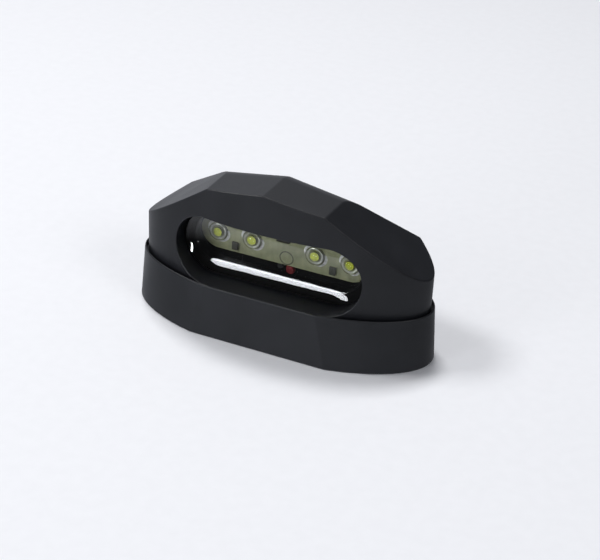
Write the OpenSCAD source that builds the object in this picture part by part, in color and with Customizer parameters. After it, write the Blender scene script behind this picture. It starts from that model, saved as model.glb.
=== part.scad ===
// Number plate lamp: a faceted moulded hood on an oval lower housing, with a capsule window,
// a scooped clear lens and a row of four light emitting diodes behind it.
// The origin is at the centre of the flat underside. +X runs along the lamp, -Y is the light side, +Z is up.

/* [Lower housing] */
// Length of the oval lower housing at its foot
base_len = 84; // [78:0.5:96]
// Depth of the oval at its foot, before the front flat is cut
base_depth = 38.4; // [36:0.2:44]
// How deep the front flat is cut into the oval at its foot
flat_cut = 2.1; // [1.6:0.1:2.4]
// Height of the lower housing
base_h = 14.8; // [13:0.2:18]
// How far the oval draws in from foot to rim
base_draft = 1.05; // [0.5:0.05:1.5]
// How far the front flat draws in from foot to rim
flat_draft = 0.3; // [0:0.05:0.6]
// Thickness of the floor
floor_t = 2.6; // [2:0.1:4]
// Thickness of the rim's wall
rim_t = 1.2; // [1:0.1:1.5]
// Thickness of the rim's thin upper lip
lip_t = 0.4; // [0.3:0.05:0.6]
// Depth of the shadow groove between the lip and the hood
groove_d = 1.5; // [1:0.1:2.5]

/* [Hood] */
// How far the hood's ends stand inside the foot of the lower housing
hood_step = 1.95; // [1.8:0.05:2.6]
// How far the hood's front and rear stand inside the foot of the oval
hood_side_step = 3; // [2.9:0.05:3.6]
// Wall of the hood
hood_wall = 2; // [1.6:0.1:2.4]
// Height of the ridge at the middle of the lamp
ridge_z = 43.8; // [42:0.2:48]
// Drop of the roof from the ridge to the crease of the end facets
crease_drop = 2.58; // [1.6:0.02:3.4]
// Distance from the end of the lower housing to that crease, at the front edge
crease_margin = 25.9; // [24:0.1:28]
// Fall of the two end facets, in degrees
end_fall = 35.8; // [34:0.1:38]
// Lean of the end facets towards the front, in degrees
end_lean = 0.5; // [0:0.5:6]
// Fall of the two rear facets, in degrees
rear_fall = 39.7; // [34:0.1:44]
// Place of the crest between roof and rear facets, from the middle line
crest_y = -1.6; // [-4:0.1:2]
// Rounding of that crest
crest_r = 9; // [4:0.5:10]
// Depth of the hood's skirt inside the rim
skirt_h = 5.6; // [4:0.2:8]

/* [Window and lens] */
// Distance from the end of the lower housing to the end of the capsule window
window_margin = 16.1; // [15.2:0.1:18]
// Distance from the ridge down to the top of the capsule window
window_drop = 11; // [10.6:0.1:13]
// Distance from the rim of the lower housing down to the bottom of the window
window_sink = 1; // [0:0.1:1.4]
// Place of the lens edge, from the middle line
lens_y = -8.2; // [-8.8:0.1:-7.4]
// Thickness of the lens
lens_t = 1.3; // [1.1:0.1:2]
// Radius of the scoop in the lens
scoop_r = 20; // [16:0.5:24]
// How far the flange of the lens reaches past the window
flange_w = 1.4; // [1:0.1:1.8]
// Thickness of the flange and of the gasket
flange_t = 1; // [0.8:0.1:1.2]
// Thickness of the moulded wall around the window recess
recess_wall = 1.6; // [1.2:0.1:2]

/* [Light board] */
// Distance from the end of the window to the last diode
led_margin = 7.05; // [6.4:0.05:8]
// Place of an inner diode as a share of the way out to the last one
led_share = 0.475; // [0.44:0.005:0.52]
// Diameter of a diode's dome
led_d = 4.8; // [4:0.1:5]
// Height of the board as a share of the window's height
board_share = 0.5475; // [0.48:0.0025:0.58]
// Thickness of the board
board_t = 1.6; // [1:0.1:2]
// Distance from the board's face to the top of a dome
dome_h = 1.9; // [1.7:0.1:2.4]
// Thickness of the black carrier plate
carrier_t = 1.6; // [1.2:0.1:2]

/* [Fixings] */
// Distance from the end of the lower housing to the near threaded insert
insert_margin = 17; // [16:0.5:19]
// Core hole of the inserts, for an M5 screw
insert_bore = 4.2; // [3.3:0.1:4.4]
// Outer diameter of the inserts
insert_d = 7; // [6.4:0.1:7.4]
// Height of the inserts
insert_h = 6; // [4:0.5:7]
// Distance from the end of the lower housing to the near hood screw
hood_screw_margin = 9; // [8.4:0.1:10]
// Shank diameter of the hood screws
hood_screw_d = 2.9; // [2.5:0.1:3.2]
// Bore of the cable grommet
cable_bore = 4; // [3:0.1:5]
// Diameter of one inner lead
lead_d = 1.6; // [1.2:0.1:1.8]

/* [Hidden] */
$fn = 48;
eps = 0.01;
// Free play between parts that slip into each other
slip = 0.15;
// Gap of a face that only just clears its neighbour
seat = 0.02;
// Number of points on an oval outline
oval_n = 80;
// Size of a block that reaches past the whole lamp
far = 150;

crease_x = base_len/2 - crease_margin;
inner_fall = atan(crease_drop/crease_x);
window_foot = base_h - window_sink;
window_h = ridge_z - window_drop - window_foot;
window_z = window_foot + window_h/2;
board_h = board_share*window_h;
base_flat = base_depth/2 - flat_cut;
base_top_len = base_len - 2*base_draft;
base_top_depth = base_depth - 2*base_draft;
rim_in_len = base_top_len - 2*rim_t;
rim_in_depth = base_top_depth - 2*rim_t;
rim_in_flat = base_flat - flat_draft - rim_t;
lip_flat = base_flat - flat_draft - lip_t;
hood_len = base_len - 2*hood_step;
hood_depth = base_depth - 2*hood_side_step;

// The skirt is the stretch of the hood that slips inside the rim
skirt_len = rim_in_len - 2*slip;
skirt_depth = rim_in_depth - 2*slip;
skirt_flat = rim_in_flat - slip;
skirt_z = base_h - skirt_h;
skirt_top = base_h - groove_d;
skirt_wall = 1.8;
seal_t = 1.2;
seal_lip = 0.3;
ledge_z = skirt_z - seal_t;
ledge_w = 1.8;

// The window recess runs from the front to the lens, and its wall ends at the lens flange
window_len = base_len - 2*window_margin;
capsule_mid = window_len/2 - window_h/2;
flange_front = lens_y + lens_t;
gasket_t = 0.6;
carrier_front = flange_front + flange_t + gasket_t;
recess_w = flange_w + recess_wall;
// The carrier plate stands just inside the outer edge of the recess wall
plate_w = recess_w - 2*slip;
pocket_w = flange_w + 0.2;
scoop_depth = scoop_r - sqrt(scoop_r*scoop_r - window_h*window_h/4);
scoop_edge = 2;

// The board stands behind the deepest point of the scooped lens, with the domes just clear of it
dome_gap = 1.2;
board_front = lens_y + lens_t + scoop_depth + dome_gap + dome_h;
led_end = window_len/2 - led_margin;
led_x = [-led_end, -led_share*led_end, led_share*led_end, led_end];
chip_d = 2;
chip_t = 0.5;
dome_base = 0.6;
collar_w = 0.4;
dish_wall = 1.2;
board_play = 0.65;
board_len = window_len - 2*dish_wall - 2*board_play;
carrier_back = board_front + board_t + carrier_t;

// Two screws hold the carrier from behind, through an ear at each end
carrier_screw_d = 2.2;
carrier_screw_x = window_len/2 + recess_w + 0.4;
carrier_screw_hold = 4.5;
carrier_head_h = 1.4;
ear_d = 2*carrier_screw_d + 0.4;
ear_boss_d = ear_d + 0.6;
screw_y = carrier_front + carrier_t + 2*seat;

// The hood screws sit behind the middle line, clear of the carrier's ears
hood_screw_x = base_len/2 - hood_screw_margin;
hood_screw_y = 4.2;
hood_screw_hold = 8;
pillar_wall = 1.8;
pillar_d = hood_screw_d + 2*pillar_wall;
screw_head_d = 2*hood_screw_d;
screw_head_h = 1.8;
screw_sink = 2.4;
screw_play = 0.5;
thread_bite = 0.3;
slot_w = 0.7;
slot_d = 0.8;

insert_x = base_len/2 - insert_margin;
boss_wall = 2;
boss_d = insert_d + 2*boss_wall;
boss_top = insert_h + 1;
grommet_inset = 10.2;
grommet_y = base_depth/2 - grommet_inset;
grommet_wall = 1.5;
grommet_d = cable_bore + 2*grommet_wall;
grommet_flange = 1.2;
grommet_collar = 1.6;
grommet_top = floor_t + grommet_collar;
lead_z = window_z - board_h/2 - lead_d/2 - 0.3;
lead_in = 0.95;
lead_bend = 2.4;
lead_drop = 3;

function oval(len, depth, flat = far) = [
    for (i = [0:oval_n - 1])
        let (a = 360*i/oval_n) [len/2*cos(a), max(depth/2*sin(a), -flat)]
];

module oval_block(len, depth, h, flat = far) {
    linear_extrude(h) polygon(oval(len, depth, flat));
}

// A capsule standing in the X Z plane, thick along Y, with its front face at y
module capsule_block(len, h, y, t) {
    translate([0, y + t, window_z])
        rotate([90, 0, 0])
            linear_extrude(t) {
                square([len - h, h], center = true);
                for (side = [-1, 1])
                    translate([side*(len - h)/2, 0])
                        circle(d = h);
            }
}

// The side view of the roof: level front part, rounded crest and falling rear
module roof_profile(inset) {
    r = crest_r - inset;
    round_y = crest_y - crest_r*tan(rear_fall/2);
    round_z = ridge_z - crest_r;
    polygon([
        [-far/2, -far/2],
        [-far/2, ridge_z - inset],
        [round_y, ridge_z - inset],
        [round_y, round_z],
        [round_y + r*sin(rear_fall), round_z + r*cos(rear_fall)],
        [round_y + r*sin(rear_fall) + far*cos(rear_fall), round_z + r*cos(rear_fall) - far*sin(rear_fall)],
        [-far/2, -far/2]
    ]);
    translate([round_y, round_z])
        circle(r, $fn = 96);
}

// One inner roof facet with its rear facet, falling towards the given side
module roof_bar(side, inset) {
    translate([0, 0, ridge_z])
        rotate([0, side*inner_fall, 0])
            translate([-far/2, 0, -ridge_z])
                rotate([90, 0, 90])
                    linear_extrude(far)
                        roof_profile(inset);
}

// The half space below one end facet
module end_wedge(side, inset) {
    translate([side*crease_x, -hood_depth/2, ridge_z - crease_drop])
        rotate([0, side*end_fall, 0])
            rotate([end_lean, 0, 0])
                translate([-far, -far, -2*far - inset])
                    cube([2*far, 2*far, 2*far]);
}

// The outer form of the hood above the rim, drawn in by a given wall
module hood_form(inset) {
    intersection() {
        translate([0, 0, skirt_z])
            oval_block(hood_len - 2*inset, hood_depth - 2*inset, far/2);
        roof_bar(-1, inset);
        roof_bar(1, inset);
        end_wedge(-1, inset);
        end_wedge(1, inset);
    }
}

module hood() {
    color([0.09, 0.09, 0.1])
        difference() {
            union() {
                difference() {
                    union() {
                        intersection() {
                            hood_form(0);
                            translate([-far, -far, skirt_top - eps])
                                cube([2*far, 2*far, far]);
                        }
                        translate([0, 0, skirt_z])
                            oval_block(skirt_len, skirt_depth, skirt_top - skirt_z, skirt_flat);
                    }
                    hood_form(hood_wall);
                    translate([0, 0, skirt_z - eps])
                        oval_block(skirt_len - 2*skirt_wall, skirt_depth - 2*skirt_wall, skirt_h,
                            skirt_flat - skirt_wall);
                }
                // Moulded wall around the window recess, with the pocket for the lens flange
                intersection() {
                    capsule_block(window_len + 2*recess_w, window_h + 2*recess_w, -far/2, far/2 + carrier_front);
                    hood_core();
                }
                for (side = [-1, 1]) {
                    carrier_boss(side);
                    hood_pillar(side);
                }
            }
            capsule_block(window_len, window_h, -far/2, far/2 + flange_front + eps);
            capsule_block(window_len + 2*pocket_w, window_h + 2*pocket_w, flange_front,
                carrier_front - flange_front + eps);
            for (side = [-1, 1]) {
                translate([side*carrier_screw_x, carrier_front + eps, window_z])
                    rotate([90, 0, 0])
                        cylinder(d = carrier_screw_d - thread_bite, h = carrier_screw_hold + thread_bite);
                translate([side*hood_screw_x, hood_screw_y, skirt_z - 2*eps])
                    cylinder(d = hood_screw_d - thread_bite, h = hood_screw_hold + 1);
            }
        }
}

// The filled space of the hood above the rim and of its skirt, used to trim the inner walls
module hood_core() {
    intersection() {
        hood_form(eps);
        translate([-far, -far, skirt_top - eps])
            cube([2*far, 2*far, far]);
    }
    translate([0, 0, skirt_z + 1])
        oval_block(skirt_len - 2*eps, skirt_depth - 2*eps, skirt_top - skirt_z - 1, skirt_flat - eps);
}

// Boss beside the recess that takes a carrier screw
module carrier_boss(side) {
    intersection() {
        translate([side*carrier_screw_x, carrier_front, window_z])
            rotate([90, 0, 0])
                cylinder(d = ear_boss_d, h = far/2);
        hood_core();
    }
}

// Pillar in each end of the hood that takes a hood screw from below
module hood_pillar(side) {
    intersection() {
        translate([side*hood_screw_x, hood_screw_y, skirt_z])
            cylinder(d = pillar_d, h = far);
        union() {
            hood_form(eps);
            translate([0, 0, skirt_z])
                oval_block(skirt_len - skirt_wall, skirt_depth - skirt_wall, skirt_top - skirt_z - eps);
        }
    }
}

// The outer form of the lower housing: an oval with a flat front, drawn in towards the rim
module base_form() {
    hull() {
        oval_block(base_len, base_depth, eps, base_flat);
        translate([0, 0, base_h - eps])
            oval_block(base_top_len, base_top_depth, eps, base_flat - flat_draft);
    }
}

// Pillar under each hood screw, trimmed above the ledge so that the seal passes it
module base_pillar(side) {
    translate([side*hood_screw_x, hood_screw_y, floor_t - eps])
        cylinder(d = pillar_d, h = ledge_z - floor_t);
    intersection() {
        translate([side*hood_screw_x, hood_screw_y, floor_t])
            cylinder(d = pillar_d, h = skirt_z - floor_t - slip);
        oval_block(skirt_len - 2*skirt_wall, skirt_depth - 2*skirt_wall, far, skirt_flat - skirt_wall);
    }
}

module base() {
    color([0.1, 0.1, 0.11])
        difference() {
            union() {
                difference() {
                    base_form();
                    translate([0, 0, ledge_z])
                        oval_block(rim_in_len, rim_in_depth, far, rim_in_flat);
                    translate([0, 0, skirt_top - seat])
                        oval_block(base_top_len - 2*lip_t, base_top_depth - 2*lip_t, far, lip_flat);
                    translate([0, 0, floor_t])
                        oval_block(rim_in_len - 2*ledge_w, rim_in_depth - 2*ledge_w, far,
                            rim_in_flat - ledge_w);
                }
                for (side = [-1, 1]) {
                    translate([side*insert_x, 0, floor_t - eps])
                        cylinder(d = boss_d, h = boss_top - floor_t);
                    base_pillar(side);
                }
            }
            for (side = [-1, 1]) {
                translate([side*insert_x, 0, -eps])
                    cylinder(d = insert_d, h = insert_h + eps);
                translate([side*hood_screw_x, hood_screw_y, -eps])
                    cylinder(d = hood_screw_d + screw_play, h = far);
                translate([side*hood_screw_x, hood_screw_y, -eps])
                    cylinder(d = screw_head_d + screw_play, h = screw_sink + eps);
            }
            translate([0, grommet_y, -eps])
                cylinder(d = grommet_d, h = far);
        }
}

// Rubber ring between the skirt and the ledge in the rim
module housing_seal() {
    color([0.16, 0.16, 0.17])
        translate([0, 0, ledge_z + seat])
            difference() {
                oval_block(skirt_len, skirt_depth, seal_t - 2*seat, skirt_flat);
                translate([0, 0, -eps])
                    oval_block(skirt_len - 2*(skirt_wall - seal_lip), skirt_depth - 2*(skirt_wall - seal_lip),
                        far, skirt_flat - skirt_wall + seal_lip);
            }
}

// The scooped front of the lens: a round trough with a hollowed end at each side
module scoop(y, r) {
    axis_y = y - scoop_r + scoop_depth;
    intersection() {
        union() {
            translate([-capsule_mid, axis_y, window_z])
                rotate([0, 90, 0])
                    cylinder(r = r, h = 2*capsule_mid, $fn = 96);
            for (side = [-1, 1])
                translate([side*capsule_mid, axis_y, window_z])
                    sphere(r, $fn = 96);
        }
        capsule_block(window_len, window_h, y - far, 2*far);
    }
}

module lens() {
    color([0.85, 0.9, 0.88, 0.4])
        difference() {
            union() {
                capsule_block(window_len - 2*slip, window_h - 2*slip, lens_y, lens_t + flange_t);
                capsule_block(window_len + 2*flange_w, window_h + 2*flange_w, flange_front + seat, flange_t - seat);
                intersection() {
                    scoop(lens_y, scoop_r + lens_t);
                    capsule_block(window_len - 2*scoop_edge, window_h - 2*scoop_edge, lens_y, scoop_r);
                }
            }
            scoop(lens_y, scoop_r);
        }
}

// Flat rubber capsule ring pressed between the lens flange and the carrier
module lens_gasket() {
    color([0.2, 0.2, 0.21])
        difference() {
            capsule_block(window_len + 2*flange_w, window_h + 2*flange_w, flange_front + flange_t + seat,
                gasket_t - 2*seat);
            capsule_block(window_len - scoop_edge, window_h - scoop_edge, -far/2, far);
        }
}

// Black plate that closes the recess behind the lens and carries the board in a dished face
module carrier() {
    color([0.06, 0.06, 0.06])
        difference() {
            union() {
                capsule_block(window_len + 2*plate_w, window_h + 2*plate_w, carrier_front + seat, carrier_t);
                capsule_block(window_len, window_h, carrier_front + seat, carrier_back - carrier_front);
                for (side = [-1, 1])
                    translate([side*carrier_screw_x, carrier_front + carrier_t + seat, window_z])
                        rotate([90, 0, 0])
                            cylinder(d = ear_d, h = carrier_t);
            }
            capsule_block(window_len - 2*dish_wall, window_h - 2*dish_wall, carrier_front - 1,
                board_front + board_t - carrier_front + 1);
            for (side = [-1, 1]) {
                translate([side*carrier_screw_x, far/2, window_z])
                    rotate([90, 0, 0])
                        cylinder(d = carrier_screw_d + thread_bite, h = far);
                translate([lead_x(side), far/2, lead_z])
                    rotate([90, 0, 0])
                        cylinder(d = lead_d + 2*thread_bite, h = far);
            }
        }
}

module circuit_board() {
    color([0.72, 0.74, 0.62])
        capsule_block(board_len, board_h, board_front, board_t - seat);
}

// Clear dome of one diode on its flat collar, hollowed for the chip
module led_dome(n) {
    rise = dome_h - dome_base;
    ball_r = (led_d*led_d/4 + rise*rise)/(2*rise);
    color([0.9, 0.92, 0.88, 0.45])
        translate([led_x[n], board_front - seat, window_z])
            rotate([90, 0, 0])
                difference() {
                    union() {
                        cylinder(d = led_d + 2*collar_w, h = dome_base);
                        intersection() {
                            translate([0, 0, dome_h - ball_r])
                                sphere(ball_r, $fn = 64);
                            translate([0, 0, dome_base - eps])
                                cylinder(d = led_d, h = dome_h);
                        }
                    }
                    translate([0, 0, -eps])
                        cylinder(d = chip_d + 5*seat, h = chip_t + 5*seat);
                }
}

// Phosphor covered chip under one dome
module led_chip(n) {
    color([0.85, 0.9, 0.2])
        translate([led_x[n], board_front - seat, window_z])
            rotate([90, 0, 0])
                cylinder(d = chip_d, h = chip_t);
}

// One flat surface mounted component on the board's face
module board_part(x, z, w, h, t) {
    translate([x - w/2, board_front - seat - t, window_z + z - h/2])
        cube([w, t, h]);
}

module resistor(side) {
    color([0.08, 0.08, 0.08])
        board_part(side*(led_x[3] + led_x[2])/2, -0.31*board_h, 0.16*board_h, 0.22*board_h, 0.6);
}

module polarity_diode() {
    color([0.1, 0.1, 0.1])
        board_part(0, 0.26*board_h, 0.34*board_h, 0.16*board_h, 1.1);
}

// Two crossed slots in the head of a screw, cut from the given height
module cross_slot(w, reach, z, h) {
    for (turn = [0, 90])
        rotate(turn)
            translate([-reach/2, -w/2, z])
                cube([reach, w, h]);
}

module carrier_screw(side) {
    color([0.7, 0.7, 0.68])
        translate([side*carrier_screw_x, screw_y, window_z])
            rotate([-90, 0, 0])
                difference() {
                    union() {
                        cylinder(d = 2*carrier_screw_d, h = carrier_head_h);
                        translate([0, 0, -carrier_t - carrier_screw_hold + thread_bite])
                            cylinder(d = carrier_screw_d - thread_bite - 2*seat,
                                h = carrier_t + carrier_screw_hold - thread_bite + eps);
                    }
                    cross_slot(slot_w - 0.2, 1.2*carrier_screw_d, carrier_head_h - slot_d, 2*slot_d);
                }
}

module hood_screw(side) {
    color([0.7, 0.7, 0.68])
        translate([side*hood_screw_x, hood_screw_y, 0])
            difference() {
                union() {
                    translate([0, 0, screw_sink - screw_head_h - seat])
                        cylinder(d = screw_head_d, h = screw_head_h);
                    translate([0, 0, screw_sink - seat - eps])
                        cylinder(d = hood_screw_d - thread_bite - 2*seat, h = skirt_z + hood_screw_hold - screw_sink);
                }
                cross_slot(slot_w, 1.2*hood_screw_d, screw_sink - screw_head_h - slot_d, 2*slot_d);
            }
}

module insert(side) {
    color([0.75, 0.6, 0.3])
        translate([side*insert_x, 0, 5*seat])
            difference() {
                cylinder(d = insert_d - 2*seat, h = insert_h - 6*seat);
                translate([0, 0, -eps])
                    cylinder(d = insert_bore, h = far);
            }
}

// Rubber grommet in the floor, where the cable leaves the lamp
module cable_grommet() {
    color([0.15, 0.15, 0.15])
        translate([0, grommet_y, 0])
            difference() {
                union() {
                    translate([0, 0, 0.4])
                        cylinder(d = grommet_d - 2*seat, h = grommet_top - 0.4);
                    translate([0, 0, floor_t + seat])
                        cylinder(d = grommet_d + 2*grommet_flange, h = grommet_top - floor_t - seat);
                }
                translate([0, 0, -eps])
                    cylinder(d = cable_bore, h = far);
            }
}

// The inner leads: from the board's lower edge, back through the carrier and down to the grommet
function lead_x(side) = -side*0.8*lead_d;
function lead_route(side) = [
    [lead_x(side), board_front + board_t - lead_d/2 - 0.1, lead_z],
    [lead_x(side), carrier_back, lead_z],
    [lead_x(side), carrier_back + 0.5*lead_bend, lead_z],
    [lead_x(side), carrier_back + 1.1*lead_bend, lead_z - 0.3*lead_bend],
    [-side*lead_in, grommet_y - 0.2*lead_bend, lead_z - 1.5*lead_bend],
    [-side*lead_in, grommet_y, lead_z - 2.6*lead_bend],
    [-side*lead_in, grommet_y, grommet_top + lead_drop],
    [-side*lead_in, grommet_y, grommet_top + 0.1]
];

function unit(v) = v/norm(v);
function along(p, i) = unit(p[min(i + 1, len(p) - 1)] - p[max(i - 1, 0)]);
function ring(c, t, r, n) = let (a = unit(cross(t, [1, 0, 0])), b = cross(t, a))
    [for (k = [0:n - 1]) c + r*cos(360*k/n)*a + r*sin(360*k/n)*b];

module swept_tube(p, r, n = 8) {
    rings = [for (i = [0:len(p) - 1]) each ring(p[i], along(p, i), r, n)];
    last = (len(p) - 1)*n;
    polyhedron(rings, concat(
        [[for (k = [0:n - 1]) k]],
        [for (i = [0:len(p) - 2], k = [0:n - 1])
            [i*n + k, (i + 1)*n + k, (i + 1)*n + (k + 1) % n, i*n + (k + 1) % n]],
        [[for (k = [0:n - 1]) last + n - 1 - k]]));
}

module lead_red() {
    color([0.7, 0.05, 0.08])
        swept_tube(lead_route(-1), lead_d/2);
}

module lead_black() {
    color([0.05, 0.05, 0.05])
        swept_tube(lead_route(1), lead_d/2);
}

base();
housing_seal();
hood();
lens();
lens_gasket();
carrier();
circuit_board();
led_dome(0);  // led_dome_1
led_dome(1);  // led_dome_2
led_dome(2);  // led_dome_3
led_dome(3);  // led_dome_4
led_chip(0);  // led_chip_1
led_chip(1);  // led_chip_2
led_chip(2);  // led_chip_3
led_chip(3);  // led_chip_4
resistor(-1);  // resistor_left
resistor(1);  // resistor_right
polarity_diode();
carrier_screw(-1);  // carrier_screw_left
carrier_screw(1);  // carrier_screw_right
lead_red();
lead_black();
cable_grommet();
insert(-1);  // insert_left
insert(1);  // insert_right
hood_screw(-1);  // hood_screw_left
hood_screw(1);  // hood_screw_right
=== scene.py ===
from math import asin, cos, pi, radians, sin, sqrt, tan
import bmesh
import bpy
from mathutils import Matrix, Vector


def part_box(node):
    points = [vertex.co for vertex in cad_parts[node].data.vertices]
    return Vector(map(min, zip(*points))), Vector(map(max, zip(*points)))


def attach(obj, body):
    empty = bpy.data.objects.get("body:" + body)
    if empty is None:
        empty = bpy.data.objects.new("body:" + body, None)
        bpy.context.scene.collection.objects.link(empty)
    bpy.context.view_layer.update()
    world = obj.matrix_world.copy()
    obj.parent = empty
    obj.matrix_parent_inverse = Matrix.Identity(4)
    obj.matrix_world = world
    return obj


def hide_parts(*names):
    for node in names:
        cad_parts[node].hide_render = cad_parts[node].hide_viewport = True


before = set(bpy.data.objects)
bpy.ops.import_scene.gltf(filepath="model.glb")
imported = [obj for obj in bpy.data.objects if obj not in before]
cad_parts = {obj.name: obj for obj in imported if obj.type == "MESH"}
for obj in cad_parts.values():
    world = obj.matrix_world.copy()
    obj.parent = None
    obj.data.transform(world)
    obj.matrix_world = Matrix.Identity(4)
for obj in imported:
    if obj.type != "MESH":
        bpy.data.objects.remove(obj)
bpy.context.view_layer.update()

# ---------------------------------------------------------------- camera
# The photograph looks down on the lamp from its front right, at about the height of a seated eye.
# The lens has the length of a short telephoto, so that the long lamp shows little foreshortening.
view = bpy.data.cameras.new("camera")
view.lens = 89.975
view.sensor_width = 36
view.clip_start = 0.01
view.clip_end = 10
camera = bpy.data.objects.new("camera", view)
bpy.context.scene.collection.objects.link(camera)
right, up, back = Vector((0.9071, 0.4183, 0.0456)), Vector((-0.2406, 0.4266, 0.8718)), Vector((0.3452, -0.8019, 0.4877))
camera.matrix_world = Matrix.Translation((0.13901, -0.31347, 0.20427)) @ Matrix((right, up, back)).transposed().to_4x4()
bpy.context.scene.camera = camera
bpy.context.scene.view_settings.view_transform = "Standard"


# ---------------------------------------------------------------- lower housing
# An oval tub, injection moulded in black ABS with a spark eroded texture, with a flat front.
# Its wall leans in a little for draft, and a thin lip at the rim hides the joint to the hood.
def linear(code):
    """A colour from its sRGB hex value, as linear red, green, blue and alpha."""
    parts = [int(code[i:i + 2], 16) / 255 for i in (1, 3, 5)]
    return tuple(p / 12.92 if p <= 0.04045 else ((p + 0.055) / 1.055) ** 2.4 for p in parts) + (1.0,)


def add(tree, kind, inputs=None, **settings):
    """Adds one node with its settings, and its links or values by socket."""
    made = tree.nodes.new(kind)
    for name, value in settings.items():
        setattr(made, name, value)
    for name, value in (inputs or {}).items():
        if isinstance(value, bpy.types.NodeSocket):
            tree.links.new(value, made.inputs[name])
        else:
            made.inputs[name].default_value = value
    return made


def ramp_stops(made, stops):
    """Sets the stops of a Color Ramp node."""
    stop_list = made.color_ramp.elements
    while len(stop_list) < len(stops):
        stop_list.new(0.5)
    for stop, (place, colour) in zip(stop_list, stops):
        stop.position = place
        stop.color = colour


def new_material(name):
    """An empty material with an output and a shader, and its tree."""
    material = bpy.data.materials.new(name)
    material.use_nodes = True
    tree = material.node_tree
    tree.nodes.clear()
    shader = add(tree, "ShaderNodeBsdfPrincipled")
    add(tree, "ShaderNodeOutputMaterial", {"Surface": shader.outputs["BSDF"]})
    return material, tree, shader


def wire(tree, shader, colour, rough, bump):
    """Links a material's colour, roughness and bump nodes to its shader."""
    tree.links.new(colour.outputs["Color"], shader.inputs["Base Color"])
    tree.links.new(rough.outputs["Result"], shader.inputs["Roughness"])
    tree.links.new(bump.outputs["Normal"], shader.inputs["Normal"])


def moulded_plastic(name, dark, light, rough_low, rough_high, grain_mm, cloud_mm, bump_mm, gloss=0.5):
    """Moulded plastic: an even colour with faint flow clouds, and the fine grain of a spark eroded tool."""
    material, tree, shader = new_material(name)
    place = add(tree, "ShaderNodeTexCoord").outputs["Object"]
    cloud, grain, fine = (
        add(tree, "ShaderNodeTexNoise", {"Vector": place, "Scale": scale, "Detail": detail, "Roughness": roughness})
        for scale, detail, roughness in ((1000 / cloud_mm, 3.0, 0.55), (1000 / grain_mm, 2.0, 0.6),
                                         (2600 / grain_mm, 1.0, 0.5)))
    both = add(tree, "ShaderNodeMix", {"Factor": 0.35, "A": cloud.outputs["Fac"], "B": grain.outputs["Fac"]},
               data_type="FLOAT")
    tone = add(tree, "ShaderNodeValToRGB", {"Fac": both.outputs["Result"]})
    ramp_stops(tone, [(0.32, linear(dark)), (0.68, linear(light))])
    rough = add(tree, "ShaderNodeMapRange", {"Value": both.outputs["Result"], "From Min": 0.3, "From Max": 0.7,
                                             "To Min": rough_low, "To Max": rough_high})
    height = add(tree, "ShaderNodeMath", {0: grain.outputs["Fac"], 1: fine.outputs["Fac"]}, operation="ADD")
    bump = add(tree, "ShaderNodeBump", {"Height": height.outputs["Value"], "Distance": bump_mm / 1000})
    wire(tree, shader, tone, rough, bump)
    shader.inputs["IOR"].default_value = 1.53
    shader.inputs["Specular IOR Level"].default_value = gloss
    return material


def mesh_object(name, points, faces):
    """A mesh object from points in millimetres, with its faces pointing outwards."""
    mesh = bpy.data.meshes.new(name)
    mesh.from_pydata([(p[0] / 1000, p[1] / 1000, p[2] / 1000) for p in points], [], faces)
    made = bpy.data.objects.new(name, mesh)
    bpy.context.scene.collection.objects.link(made)
    work = bmesh.new()
    work.from_mesh(mesh)
    bmesh.ops.recalc_face_normals(work, faces=work.faces)
    work.to_mesh(mesh)
    work.free()
    return made


def loft(name, rings, closed=False):
    """Skins rings of equal point counts. The ends are capped, or joined to each other where closed."""
    count = len(rings[0])
    points = [p for ring in rings for p in ring]
    faces = []
    for i in range(len(rings) if closed else len(rings) - 1):
        a, b = i * count, (i + 1) % len(rings) * count
        faces += [(a + k, a + (k + 1) % count, b + (k + 1) % count, b + k) for k in range(count)]
    if not closed:
        faces += [tuple(reversed(range(count))), tuple(range(len(points) - count, len(points)))]
    return mesh_object(name, points, faces)


def carve(body, tool, operation="DIFFERENCE"):
    """Cuts the tool out of the body, or joins it on, and deletes the tool."""
    change = body.modifiers.new("carve", "BOOLEAN")
    change.operation = operation
    change.object = tool
    change.solver = "EXACT"
    bpy.context.view_layer.update()
    seen = body.evaluated_get(bpy.context.evaluated_depsgraph_get())
    mesh = bpy.data.meshes.new_from_object(seen)
    body.modifiers.clear()
    old = body.data
    body.data = mesh
    bpy.data.meshes.remove(old)
    bpy.data.objects.remove(tool)


def finish_piece(piece, material, nodes=(), crease=28.0):
    """Shades a piece smooth between its creases and gives it its material. It takes its nodes' place if it has any."""
    mesh = piece.data
    mesh.materials.clear()
    mesh.materials.append(material)
    mesh.shade_smooth()
    mesh.set_sharp_from_angle(angle=radians(crease))
    even = piece.modifiers.new("even_normals", "WEIGHTED_NORMAL")
    even.keep_sharp = True
    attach(piece, "root")
    if nodes:
        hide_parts(*nodes)


def oval_ring(length, depth, flat, z, soft=0.5, around=168, across=24):
    """One level of the housing: an oval with a flat front, whose two creases are softened over a short arc."""
    start = -asin(min(1.0, 2 * flat / depth))
    ring = [(length / 2 * cos(a), depth / 2 * sin(a), z)
            for a in (start + (pi - 2 * start) * i / around for i in range(around + 1))]
    half = ring[0][0]
    ring += [(-half + 2 * half * i / across, -flat, z) for i in range(1, across)]
    for corner in (0, around):
        x, y, _ = ring[corner]
        side = 1 if x > 0 else -1
        for step in (-2, -1, 0, 1, 2):
            index = (corner + step) % len(ring)
            reach = step * soft / 2 * (1 if corner == 0 else -1)
            slope = (depth / length) ** 2 * abs(x) / abs(y)
            lift = max(0.0, reach) * slope
            blend = soft * slope / 4 * max(0.0, 1 - abs(reach) / soft) ** 2
            ring[index] = (x + side * reach, -flat + lift + blend, z)
    return ring


def cylinder(name, x, y, low, high, r, sides=64):
    """A plain upright tool for cutting or joining."""
    rings = [[(x + r * cos(2 * pi * k / sides), y + r * sin(2 * pi * k / sides), z) for k in range(sides)]
             for z in (low, high)]
    return loft(name, rings)


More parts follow.
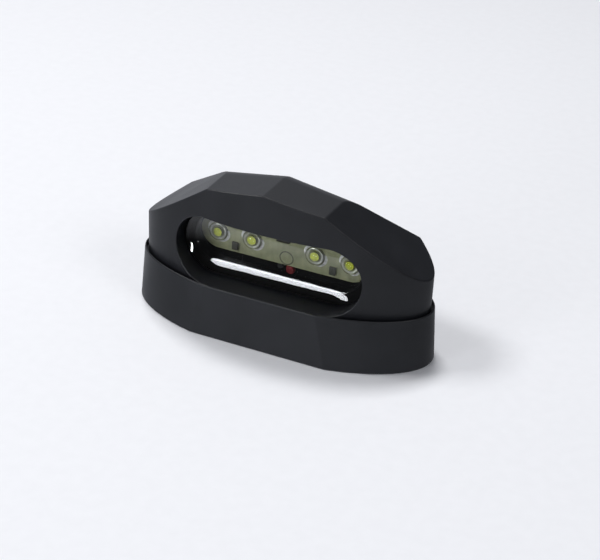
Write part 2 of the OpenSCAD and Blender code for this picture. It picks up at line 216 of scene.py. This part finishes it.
foot_length, foot_depth, foot_flat, rim_height = 84.0, 38.4, 17.1, 14.8
side_draft, front_draft = 1.05, 0.3
insert_x, screw_x, screw_y, cable_y = 25, 33, 4.2, 9
boss_r, pillar_r, insert_r, screw_r, head_r, cable_r = 5.5, 3.25, 3.5, 1.7, 3.15, 3.5
in_floor, boss_top, pillar_top, insert_deep, head_deep, under, over = 2.0, 7.0, 8.0, 6.0, 2.4, -1, 20


def housing_level(inset, z):
    """The housing's outline at a height, drawn in by its draft and by the given inset."""
    rise = z / rim_height
    drawn = side_draft * rise + inset
    return oval_ring(foot_length - 2 * drawn, foot_depth - 2 * drawn, foot_flat - front_draft * rise - inset, z)


# Inset and height, up the outside, over the lip at the rim and down the inside.
housing = loft("lower_housing", [housing_level(*level) for level in (
    (0.4, 0.0), (0.2, 0.05), (0.06, 0.18), (0.0, 0.4), (0.0, 7.0), (0.0, 14.45), (0.04, 14.62), (0.12, 14.74),
    (0.2, 14.8), (0.3, 14.8), (0.37, 14.76), (0.4, 14.66), (0.42, 13.28), (1.2, 13.28), (1.2, 8.0), (3.0, 8.0),
    (3.0, 2.6))])
for side in (-1, 1):
    carve(housing, cylinder("boss", side * insert_x, 0, in_floor, boss_top, boss_r), "UNION")
    carve(housing, cylinder("pillar", side * screw_x, screw_y, in_floor, pillar_top, pillar_r), "UNION")
for side in (-1, 1):
    carve(housing, cylinder("insert_hole", side * insert_x, 0, under, insert_deep, insert_r))
    carve(housing, cylinder("screw_hole", side * screw_x, screw_y, under, over, screw_r))
    carve(housing, cylinder("screw_seat", side * screw_x, screw_y, under, head_deep, head_r))
carve(housing, cylinder("cable_hole", 0, cable_y, under, over, cable_r))

# Black ABS with a spark eroded face: a soft sheen with no clear reflection, a shade greyer where the tool is worn.
housing_abs = moulded_plastic("abs_black_spark_eroded_housing", "#16181D", "#1E2026", 0.44, 0.56, 0.5, 9.0, 0.012)
finish_piece(housing, housing_abs, ["base"])


# ---------------------------------------------------------------- hood
# The upper housing, moulded in the same black ABS: four roof facets in front and a rounded crest to the rear
# facets. A capsule window opens in its front wall. Its skirt slips into the rim of the lower housing.
hood_length, hood_depth, ridge, hood_foot = 80.1, 32.4, 43.8, 13.3
inner_fall, end_fall, end_lean, rear_fall = radians(9.1), radians(35.8), radians(0.5), radians(39.7)
crease_from_middle, crest_y, crest_round = 16.1, -1.6, 9.0


def hood_solid(name, inset, low, bevel, front=None):
    """The hood's outer form drawn in by an inset: an oval prism cut by its roof planes, with rounded edges."""
    sides, over_ridge, arc_steps = 240, 60.0, 10
    half_length, half_depth = hood_length / 2 - inset, hood_depth / 2 - inset
    made = loft(name, [[(half_length * cos(2 * pi * k / sides), half_depth * sin(2 * pi * k / sides), z)
                        for k in range(sides)] for z in (low, over_ridge)])
    planes = []
    arc_y, arc_z = crest_y - crest_round * tan(rear_fall / 2), ridge - crest_round
    for side in (-1, 1):
        for step in range(arc_steps + 1):
            lean = rear_fall * step / arc_steps
            y = arc_y + (crest_round - inset) * sin(lean)
            z = arc_z + (crest_round - inset) * cos(lean) - ridge
            turn = side * inner_fall
            planes.append(((z * sin(turn), y, z * cos(turn) + ridge),
                           (cos(lean) * sin(turn), sin(lean), cos(lean) * cos(turn))))
        normal = Vector((side * cos(end_lean) * sin(end_fall), -sin(end_lean), cos(end_lean) * cos(end_fall)))
        crease = Vector((side * crease_from_middle, -hood_depth / 2, ridge - crease_from_middle * tan(inner_fall)))
        planes.append((crease - inset * normal, normal))
    if front is not None:
        planes.append(((0, front, 0), (0, -1, 0)))
    work = bmesh.new()
    work.from_mesh(made.data)
    for point, normal in planes:
        cut = bmesh.ops.bisect_plane(work, geom=work.verts[:] + work.edges[:] + work.faces[:], dist=1e-7,
                                     plane_co=Vector(point) / 1000, plane_no=Vector(normal), clear_outer=True)
        edges = [e for e in cut["geom_cut"] if isinstance(e, bmesh.types.BMEdge)]
        if edges:
            bmesh.ops.edgeloop_fill(work, edges=edges)
    # Slivers between the crest's planes go, because a rounded edge across them shows as a hairline.
    bmesh.ops.remove_doubles(work, verts=work.verts, dist=0.00001)
    bmesh.ops.dissolve_limit(work, angle_limit=radians(0.15), verts=work.verts, edges=work.edges)
    bmesh.ops.recalc_face_normals(work, faces=work.faces)
    if bevel:
        sharp = [e for e in work.edges if len(e.link_faces) == 2 and e.calc_face_angle() > radians(8)
                 and max(v.co.z for v in e.verts) > (low + 0.1) / 1000]
        bmesh.ops.bevel(work, geom=sharp, offset=bevel / 1000, offset_type="OFFSET", segments=3, profile=0.5,
                        affect="EDGES", clamp_overlap=False, loop_slide=True)
    work.to_mesh(made.data)
    work.free()
    return made


def capsule_ring(length, height, y, z_mid, sides=48, place=None):
    """A capsule outline that stands in the X Z plane. place gives y from x where the outline follows a wall."""
    r, mid, steps = height / 2, (length - height) / 2, 16
    outline = []
    for side in (1, -1):
        for k in range(sides + 1):
            a = -side * pi / 2 + pi * k / sides
            outline.append((side * mid + r * cos(a), z_mid + r * sin(a)))
        outline += [(side * (mid - 2 * mid * k / steps), z_mid + side * r) for k in range(1, steps)]
    return [(x, place(x) if place else y, z) for x, z in outline]


window_length, window_height, window_mid = 51.8, 19.0, 23.3
lens_front, lens_thick, flange_thick, gasket_thick = -8.2, 1.3, 1.0, 0.6
flange_front = lens_front + lens_thick
carrier_front = flange_front + flange_thick + gasket_thick


def front_wall(x, sink):
    """The y of the hood's front wall at x, moved in by a little."""
    return -hood_depth / 2 * sqrt(max(0.0, 1 - (2 * x / hood_length) ** 2)) + sink


def merge(body, other):
    """Adds the other object's mesh to the body's as it is, and deletes the other object."""
    joined = bmesh.new()
    joined.from_mesh(body.data)
    joined.from_mesh(other.data)
    joined.to_mesh(body.data)
    joined.free()
    bpy.data.objects.remove(other)


edge_round, wall, pocket_margin, cavity_low, skirt_low, skirt_high = 0.32, 2.0, 3.2, 12.0, 9.2, 13.26
hood = hood_solid("hood_moulding", 0.0, hood_foot, edge_round)
skirt_out, skirt_in = (79.2, 33.6, 15.45), (75.6, 30.0, 13.65)
skirt = loft("skirt", [oval_ring(*skirt_out, skirt_low), oval_ring(*skirt_out, skirt_high),
                       oval_ring(*skirt_in, skirt_high), oval_ring(*skirt_in, skirt_low)], closed=True)
carve(hood, hood_solid("cavity", wall, cavity_low, 0, front=carrier_front))
carve(hood, loft("pocket", [capsule_ring(window_length + pocket_margin, window_height + pocket_margin, y, window_mid)
                            for y in (flange_front, carrier_front + 0.2)]))
# The window's edge is rounded: it widens and comes forward along the hood's wall.
lip = [capsule_ring(window_length, window_height, flange_front + 0.1, window_mid)]
for grow, sink in ((0.0, 0.42), (0.03, 0.26), (0.11, 0.12), (0.24, 0.03), (0.42, -0.01), (0.7, -0.4), (0.7, -3.0)):
    lip.append(capsule_ring(window_length + 2 * grow, window_height + 2 * grow, 0, window_mid,
                            place=lambda x, s=sink: front_wall(x, s)))
carve(hood, loft("window", lip))
merge(hood, skirt)

# Black ABS again, from a finer tool: it takes a slightly brighter sheen than the lower housing.
hood_abs = moulded_plastic("abs_black_fine_texture_hood", "#13151A", "#1A1C22", 0.42, 0.54, 0.42, 11.0, 0.010)
finish_piece(hood, hood_abs, ["hood"])


# ---------------------------------------------------------------- lens
# A clear moulded polycarbonate lens: a capsule whose front is scooped like a trough with hollowed ends.
# Its flange is pressed against the hood from behind, on a rubber ring.
scoop_round = 20.0
scoop_deep = scoop_round - sqrt(scoop_round ** 2 - window_height ** 2 / 4)


def scoop_y(half, thick=0.0):
    """The y of the scooped face at a distance from the lens's middle line."""
    return lens_front - scoop_round + scoop_deep + sqrt((scoop_round + thick) ** 2 - half ** 2)


def lens_ring(half, y):
    """One ring of the lens at a distance from its middle line."""
    return capsule_ring(window_length - window_height + 2 * half, 2 * half, y, window_mid)


window_gap, flange_out, back_edge, centre = 0.15, 1.55, 7.5, 0.02
edge, flange_back = window_height / 2 - window_gap, flange_front + flange_thick
rings = [lens_ring(half, scoop_y(half)) for half in (centre, *(edge * k / 24 for k in range(1, 24)), edge - 0.18)]
rings += [lens_ring(half, y) for half, y in (
    (edge - 0.06, lens_front + 0.06), (edge, lens_front + 0.22), (edge, flange_front + 0.02),
    (edge + flange_out - 0.15, flange_front + 0.02), (edge + flange_out, flange_front + 0.15),
    (edge + flange_out, flange_back - 0.15), (edge + flange_out - 0.15, flange_back), (back_edge, flange_back))]
rings += [lens_ring(half, max(flange_back, scoop_y(half, lens_thick)))
          for half in (back_edge * k / 20 for k in range(19, 0, -1))]
rings.append(lens_ring(centre, scoop_y(centre, lens_thick)))
lens = loft("lens_moulding", rings)

# Clear polycarbonate with a polished face: it bends what lies behind it and mirrors the lamps. It throws no shadow
# of its own, so that the lamps light the board behind it as they do through the real lens.
lens_clear, tree, shader = new_material("polycarbonate_clear_polished")
place = add(tree, "ShaderNodeTexCoord").outputs["Object"]
flow = add(tree, "ShaderNodeTexNoise", {"Vector": place, "Scale": 1000 / 14.0, "Detail": 2.0})
haze = add(tree, "ShaderNodeMapRange", {"Value": flow.outputs["Fac"], "From Min": 0.3, "From Max": 0.7,
                                        "To Min": 0.015, "To Max": 0.04})
tint = add(tree, "ShaderNodeValToRGB", {"Fac": flow.outputs["Fac"]})
ramp_stops(tint, [(0.3, linear("#EEF1F0")), (0.7, linear("#F7F9F8"))])
wire(tree, shader, tint, haze, add(tree, "ShaderNodeBump", {"Height": flow.outputs["Fac"], "Distance": 0.00003}))
shader.inputs["IOR"].default_value = 1.58
shader.inputs["Specular IOR Level"].default_value = 0.32
shader.inputs["Transmission Weight"].default_value = 1.0
finish_piece(lens, lens_clear, ["lens"], crease=32)
lens.visible_shadow = False

# The rim and the flange are black: a painted shade that keeps the lens's edge dark, so that no light runs along it.
lens.data.materials.append(moulded_plastic("painted_shade_black_on_lens_rim", "#050506", "#09090A", 0.66, 0.76, 0.8, 5.0,
                                           0.002, gloss=0.15))
# The black painted shade covers every face within this width of the rim, and the flange.
painted_shade_width = 0.5
for face in lens.data.polygons:
    x, z = abs(face.center.x) * 1000, face.center.z * 1000 - window_mid
    away = sqrt(max(0.0, x - (window_length - window_height) / 2) ** 2 + z ** 2)
    if away > edge - painted_shade_width:
        face.material_index = 1


# ---------------------------------------------------------------- carrier and gasket
# A matt black plate closes the recess behind the lens. Its dished face holds the light board,
# and two small screws hold it from behind against the rubber ring on the lens flange.
def dress(material, *names):
    """Gives CAD nodes a material through their slots."""
    for name in names:
        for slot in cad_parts[name].material_slots:
            slot.material = material


carrier_matt = moulded_plastic("abs_black_matt_carrier", "#040405", "#08080A", 0.68, 0.80, 0.5, 8.0, 0.01, gloss=0.1)
dress(carrier_matt, "carrier")
seal_rubber = moulded_plastic("epdm_rubber_moulded", "#141416", "#1C1C1F", 0.72, 0.84, 0.7, 6.0, 0.02)
dress(seal_rubber, "lens_gasket", "housing_seal", "cable_grommet")


# ---------------------------------------------------------------- light board
# A narrow fibreglass board with round ends, coated with a pale olive solder mask.
# It carries four diodes in clear epoxy domes, two resistors and a protection diode.
board_mask, tree, shader = new_material("solder_mask_pale_on_fr4")
place = add(tree, "ShaderNodeTexCoord").outputs["Object"]
weave = add(tree, "ShaderNodeTexWave", {"Vector": place, "Scale": 1000 / 5.0, "Distortion": 0.4, "Detail": 1.0})
cloud = add(tree, "ShaderNodeTexNoise", {"Vector": place, "Scale": 1000 / 3.0, "Detail": 3.0})
both = add(tree, "ShaderNodeMix", {"Factor": 0.06, "A": cloud.outputs["Fac"], "B": weave.outputs["Fac"]},
           data_type="FLOAT")
tone = add(tree, "ShaderNodeValToRGB", {"Fac": both.outputs["Result"]})
ramp_stops(tone, [(0.3, linear("#7E7F60")), (0.7, linear("#999A78"))])
rough = add(tree, "ShaderNodeMapRange", {"Value": cloud.outputs["Fac"], "To Min": 0.3, "To Max": 0.5})
wire(tree, shader, tone, rough, add(tree, "ShaderNodeBump", {"Height": both.outputs["Result"], "Distance": 0.00002}))
dress(board_mask, "circuit_board")

# Grey brown moulded epoxy, dull beside the mask, so that the parts sit back in the window.
component_epoxy = moulded_plastic("epoxy_moulded_component", "#2C2B24", "#3B3A30", 0.45, 0.6, 0.4, 2.0, 0.004)
dress(component_epoxy, "resistor_left", "resistor_right", "polarity_diode")


def clouded(name, dark, light, rough_low, rough_high, cloud_mm, bump_mm, detail=2.0, stops=(0.3, 0.7)):
    """A material whose colour, roughness and bump all follow one noise, with its shader."""
    material, tree, shader = new_material(name)
    place = add(tree, "ShaderNodeTexCoord").outputs["Object"]
    cloud = add(tree, "ShaderNodeTexNoise", {"Vector": place, "Scale": 1000 / cloud_mm, "Detail": detail})
    noise = cloud.outputs["Fac"]
    tone = add(tree, "ShaderNodeValToRGB", {"Fac": noise})
    ramp_stops(tone, [(stops[0], linear(dark)), (stops[1], linear(light))])
    rough = add(tree, "ShaderNodeMapRange", {"Value": noise, "To Min": rough_low, "To Max": rough_high})
    wire(tree, shader, tone, rough, add(tree, "ShaderNodeBump", {"Height": noise, "Distance": bump_mm / 1000}))
    return material, shader


# Phosphor: a powdery yellow green cap that seems to glow because it turns blue light into yellow.
phosphor, _ = clouded("phosphor_yellow_in_silicone", "#A9B024", "#D0D743", 0.6, 0.8, 0.4, 0.02)
dress(phosphor, "led_chip_1", "led_chip_2", "led_chip_3", "led_chip_4")


# ---------------------------------------------------------------- diode domes
# Clear cast epoxy domes on thin collars, one over each chip, with a silvered cup round the chip and solder at the
# collar. One dome, one cup and one pair of solder fillets are made, and the row repeats them at the four places.
board_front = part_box("circuit_board")[0][1] * 1000
dome_rise, dome_wide, dome_steps, collar_high, collar_r, chip_r, chip_high = 1.9, 4.8, 14, 0.6, 2.78, 1.05, 0.6


def turned(name, profile, x=0.0, y=0.0, z=0.0, sides=48, closed=False):
    """A turned form from its radii and heights, round an axis that points to the front."""
    return loft(name, [[(x + r * cos(2 * pi * k / sides), y - h, z + r * sin(2 * pi * k / sides)) for k in range(sides)]
                       for r, h in profile], closed)


ball = (dome_wide ** 2 / 4 + (dome_rise - collar_high) ** 2) / (2 * (dome_rise - collar_high))
profile = [(centre, chip_high), (chip_r, chip_high), (chip_r, 0.0), (collar_r - 0.08, 0.0), (collar_r, 0.06),
           (collar_r, 0.5), (collar_r - 0.08, 0.58), (2.5, collar_high)]
for k in range(dome_steps):
    h = collar_high + (dome_rise - collar_high) * sin(pi / 2 * k / dome_steps)
    profile.append((sqrt(max(0.0, ball ** 2 - (h - dome_rise + ball) ** 2)), h))
profile.append((centre, dome_rise))
dome = turned("diode_domes", profile)

# A cup round each chip throws its light forwards: a thin plated ring, higher at its outer edge.
cup = turned("diode_cups", ((1.42, 0.05), (1.5, 0.09), (1.72, 0.3), (1.96, 0.52), (2.12, 0.62), (2.24, 0.64),
                            (2.33, 0.58), (2.36, 0.05)), closed=True)


def fillet(middle, half):
    """A ramp of solder that climbs the collar over an arc in degrees, and thins to both ends."""
    inner, steps, ramp = collar_r - 0.02, 20, []
    for k in range(steps + 1):
        a, swell = radians(middle + half * (2 * k / steps - 1)), 0.25 + 0.75 * sin(pi * k / steps) ** 0.6
        top = 0.14 * swell
        ramp.append([((inner + out * swell) * cos(a), -h, (inner + out * swell) * sin(a))
                     for out, h in ((0.0, 0.01), (0.0, 0.30 + top), (0.07, 0.28 + top), (0.22, 0.24), (0.4, 0.14),
                                    (0.58, 0.07), (0.72, 0.03), (0.72, 0.01))])
    return loft("solder_fillets", ramp)


# Solder holds each collar to its two pads, at the lower right and the upper left.
solder = fillet(-38.0, 52.0)
merge(solder, fillet(148.0, 40.0))

rows = bpy.data.node_groups.new("diode_row", "GeometryNodeTree")
for name, kind, value in (
        ("Geometry", "NodeSocketGeometry", None), ("Last place", "NodeSocketFloat", 0.01885),
        ("Inner share", "NodeSocketFloat", 0.475), ("Board front", "NodeSocketFloat", board_front / 1000),
        ("Height", "NodeSocketFloat", window_mid / 1000), ("Piece material", "NodeSocketMaterial", None)):
    socket = rows.interface.new_socket(name, in_out="INPUT", socket_type=kind)
    if value is not None:
        socket.default_value = value
rows.interface.new_socket("Geometry", in_out="OUTPUT", socket_type="NodeSocketGeometry")
given = add(rows, "NodeGroupInput").outputs


def row_math(operation, first, second=0.0):
    """A Math node of the diode row."""
    return add(rows, "ShaderNodeMath", {0: first, 1: second}, operation=operation).outputs["Value"]


# The row's places run from the board's left end to its right: two far out and two nearer the middle, in mirror image.
offset = row_math("SUBTRACT", add(rows, "GeometryNodeInputIndex").outputs["Index"], 1.5)
outer = row_math("GREATER_THAN", row_math("ABSOLUTE", offset), 1.0)
share = add(rows, "ShaderNodeMix", {"Factor": outer, "A": given["Inner share"], "B": 1.0}, data_type="FLOAT")
reach = row_math("MULTIPLY", share.outputs["Result"], given["Last place"])
across = row_math("MULTIPLY", reach, row_math("SIGN", offset))
spot = add(rows, "ShaderNodeCombineXYZ", {"X": across, "Y": given["Board front"], "Z": given["Height"]})
points = add(rows, "GeometryNodePoints", {"Count": 4, "Position": spot.outputs["Vector"]}).outputs[0]
placed = add(rows, "GeometryNodeInstanceOnPoints", {"Points": points, "Instance": given["Geometry"]})
real = add(rows, "GeometryNodeRealizeInstances", {"Geometry": placed.outputs["Instances"]}).outputs["Geometry"]
coated = add(rows, "GeometryNodeSetMaterial", {"Geometry": real, "Material": given["Piece material"]})
add(rows, "NodeGroupOutput", {"Geometry": coated.outputs["Geometry"]})

# Cast epoxy: water clear and glossy, so that it shows a bright edge and the chip under it.
dome_epoxy, shader = clouded("epoxy_cast_clear", "#EEF0E6", "#F8F9F2", 0.03, 0.07, 1.5, 0.01, detail=1.0)
shader.inputs["IOR"].default_value = 1.54
shader.inputs["Transmission Weight"].default_value = 1.0

# Silvered cups: plated plastic, bright on the side that faces the light and greyer on the other.
cup_silver, shader = clouded("plated_plastic_silver_cup", "#EEEEE8", "#FBFBF7", 0.08, 0.20, 0.8, 0.04)
shader.inputs["Metallic"].default_value = 0.5

# Tin solder: bright and a little wavy, as it froze, with duller hollows.
tin, shader = clouded("tin_solder_reflowed", "#BDBEB8", "#FAFAF6", 0.14, 0.34, 0.9, 0.12, stops=(0.25, 0.6))
shader.inputs["Metallic"].default_value = 0.25

for piece, material in ((dome, dome_epoxy), (cup, cup_silver), (solder, tin)):
    row = piece.modifiers.new("row", "NODES")
    row.node_group = rows
    for item in rows.interface.items_tree:
        if item.in_out == "INPUT" and item.name == "Piece material":
            row[item.identifier] = material
    bpy.context.view_layer.update()
    row_mesh = bpy.data.meshes.new_from_object(piece.evaluated_get(bpy.context.evaluated_depsgraph_get()))
    piece.modifiers.clear()
    piece.data = row_mesh
finish_piece(dome, dome_epoxy, ["led_dome_1", "led_dome_2", "led_dome_3", "led_dome_4"], crease=35)
finish_piece(cup, cup_silver, crease=35)
finish_piece(solder, tin, crease=50)
dome.visible_shadow = False


# ---------------------------------------------------------------- screws, inserts and leads
# Zinc plated steel screws and knurled brass inserts, which hold the lamp together and to its bracket,
# and two soft PVC leads from the board to the cable grommet.
def metal(name, dark, light, rough_low, rough_high, turning_mm):
    """Turned or rolled metal, with fine marks round its axis and a slightly uneven plating."""
    material, tree, shader = new_material(name)
    place = add(tree, "ShaderNodeTexCoord").outputs["Object"]
    marks = add(tree, "ShaderNodeTexNoise", {"Vector": place, "Scale": 1000 / turning_mm, "Detail": 2.0})
    cloud = add(tree, "ShaderNodeTexNoise", {"Vector": place, "Scale": 1000 / 2.5, "Detail": 2.0})
    tone = add(tree, "ShaderNodeValToRGB", {"Fac": cloud.outputs["Fac"]})
    ramp_stops(tone, [(0.3, linear(dark)), (0.7, linear(light))])
    rough = add(tree, "ShaderNodeMapRange", {"Value": marks.outputs["Fac"], "To Min": rough_low, "To Max": rough_high})
    wire(tree, shader, tone, rough, add(tree, "ShaderNodeBump", {"Height": marks.outputs["Fac"], "Distance": 0.00001}))
    shader.inputs["Metallic"].default_value = 1.0
    return material


dress(metal("steel_zinc_plated", "#A9ACAD", "#C6C8C6", 0.25, 0.4, 0.3),
      "carrier_screw_left", "carrier_screw_right", "hood_screw_left", "hood_screw_right")
dress(metal("brass_turned", "#B08A45", "#CBA75E", 0.25, 0.4, 0.3), "insert_left", "insert_right")
dress(moulded_plastic("pvc_red_extruded", "#7C0F14", "#90161A", 0.35, 0.45, 0.8, 5.0, 0.004), "lead_red")
dress(moulded_plastic("pvc_black_extruded", "#0E0E0F", "#151516", 0.35, 0.45, 0.8, 5.0, 0.004), "lead_black")


# ---------------------------------------------------------------- red sleeve and printed ring
# A soft red sleeve seals the lead where it meets the board's lower edge: cut from silicone tube, with rounded ends.
# A plain ring is printed on the board's mask between the inner diodes.
sleeve_r = 1.15
sleeve = turned("lead_sleeve", ((0.5, 1.02), (0.62, 1.1), (0.9, 1.1), (1.04, 1.04), (sleeve_r, 0.85), (sleeve_r, 0.1),
                                (1.08, -0.05), (0.9, -0.12), (0.5, -0.12)), x=1.75, z=16.55, sides=40)
finish_piece(sleeve, moulded_plastic("silicone_red_tube", "#6A0E14", "#7C1419", 0.40, 0.52, 0.7, 3.0, 0.006))
ring = turned("printed_ring", ((1.74, 0.002), (1.76, 0.03), (1.98, 0.03), (2.0, 0.002)),
              x=0.8, y=board_front, z=20.2, sides=64, closed=True)
finish_piece(ring, moulded_plastic("legend_ink_dark_printed", "#33342A", "#43443A", 0.5, 0.6, 0.3, 1.5, 0.002))


# ---------------------------------------------------------------- floor and light
# A plain white sweep under soft studio lamps: one above the rear, one high on the left, a weaker one on the right,
# a small one in front, and a long low strip to the front left, whose reflection crosses the scooped lens.
floor_half = 3.0
floor_mesh = bpy.data.meshes.new("floor")
floor_mesh.from_pydata([(x * floor_half, y * floor_half, 0) for x, y in ((-1, -1), (1, -1), (1, 1), (-1, 1))], [],
                       [(0, 1, 2, 3)])
floor = bpy.data.objects.new("floor", floor_mesh)
bpy.context.scene.collection.objects.link(floor)
paper, tree, shader = new_material("paper_white_sweep")
place = add(tree, "ShaderNodeTexCoord").outputs["Object"]
fibre = add(tree, "ShaderNodeTexNoise", {"Vector": place, "Scale": 300.0, "Detail": 2.0})
tone = add(tree, "ShaderNodeValToRGB", {"Fac": fibre.outputs["Fac"]})
ramp_stops(tone, [(0.3, linear("#EDEEF2")), (0.7, linear("#EFF0F4"))])
tree.links.new(tone.outputs["Color"], shader.inputs["Base Color"])
shader.inputs["Roughness"].default_value = 0.9
shader.inputs["Specular IOR Level"].default_value = 0.1
floor_mesh.materials.append(paper)
# The sweep is left out of what glossy and clear pieces show, and the pale lower part of the world stands in for it.
floor.visible_glossy = floor.visible_transmission = False

# The studio's walls and ceiling as mirror rays see them: bright behind on the left, dim in front and pale below.
world = bpy.data.worlds.new("studio")
bpy.context.scene.world = world
world.use_nodes = True
room = world.node_tree
room.nodes.clear()
toward = add(room, "ShaderNodeTexCoord").outputs["Generated"]
rear = add(room, "ShaderNodeVectorMath", {0: toward, 1: (-0.62, 0.76, -0.20)}, operation="DOT_PRODUCT")
near = add(room, "ShaderNodeMapRange", {"Value": rear.outputs["Value"], "From Min": -0.3})
steep = add(room, "ShaderNodeMath", {0: near.outputs["Result"], 1: 4.6}, operation="POWER")
bright = add(room, "ShaderNodeMapRange", {"Value": steep.outputs["Value"], "To Min": 0.035, "To Max": 0.98})
drop = add(room, "ShaderNodeSeparateXYZ", {"Vector": toward}).outputs["Z"]
table = add(room, "ShaderNodeMapRange", {"Value": drop, "From Min": -0.30, "From Max": -0.8, "To Max": 0.75})
mirrored = add(room, "ShaderNodeMath", {0: bright.outputs["Result"], 1: table.outputs["Result"]}, operation="ADD")

# The camera sees an even pale room. Soft light from it is dim, and only mirror rays see its bright and dark parts.
rays = add(room, "ShaderNodeLightPath").outputs
soft = add(room, "ShaderNodeMix", {"Factor": rays["Is Glossy Ray"], "A": 0.16, "B": mirrored.outputs["Value"]},
           data_type="FLOAT")
power = add(room, "ShaderNodeMix", {"Factor": rays["Is Camera Ray"], "A": soft.outputs["Result"], "B": 0.92},
            data_type="FLOAT")
sky = add(room, "ShaderNodeBackground", {"Color": linear("#F2F5FD"), "Strength": power.outputs["Result"]})
add(room, "ShaderNodeOutputWorld", {"Surface": sky.outputs["Background"]})


lamp_middle = Vector((0, 0, 0.02))


def studio_lamp(name, place, width, height, watts, colour="#FFFFFF", shape="RECTANGLE"):
    """A soft box at a place in metres that faces the number plate lamp."""
    lamp = bpy.data.lights.new(name, "AREA")
    lamp.shape = shape
    lamp.size, lamp.size_y = width, height
    lamp.energy = watts
    lamp.color = linear(colour)[:3]
    made = bpy.data.objects.new(name, lamp)
    bpy.context.scene.collection.objects.link(made)
    made.location = place
    made.rotation_euler = (lamp_middle - Vector(place)).to_track_quat("-Z", "Y").to_euler()


studio_lamp("top_rear", (-0.18, 0.20, 1.0), 0.22, 0.22, 5.5)
studio_lamp("key_left", (-0.62, -0.23, 0.84), 0.28, 0.28, 4.1)
studio_lamp("fill_right", (0.75, -0.32, 0.62), 0.36, 0.36, 1.6)
studio_lamp("front_soft", (-0.42, -0.82, 0.50), 0.20, 0.20, 0.4)
studio_lamp("low_strip", (-0.36, -0.69, 0.108), 0.40, 0.11, 1.5, colour="#F6F9FF", shape="ELLIPSE")
# A small window light from below the sweep's level only shows as a short glint in the lens's left end.
studio_lamp("low_window", (0.152, -0.577, -0.040), 0.03, 0.14, 0.48)
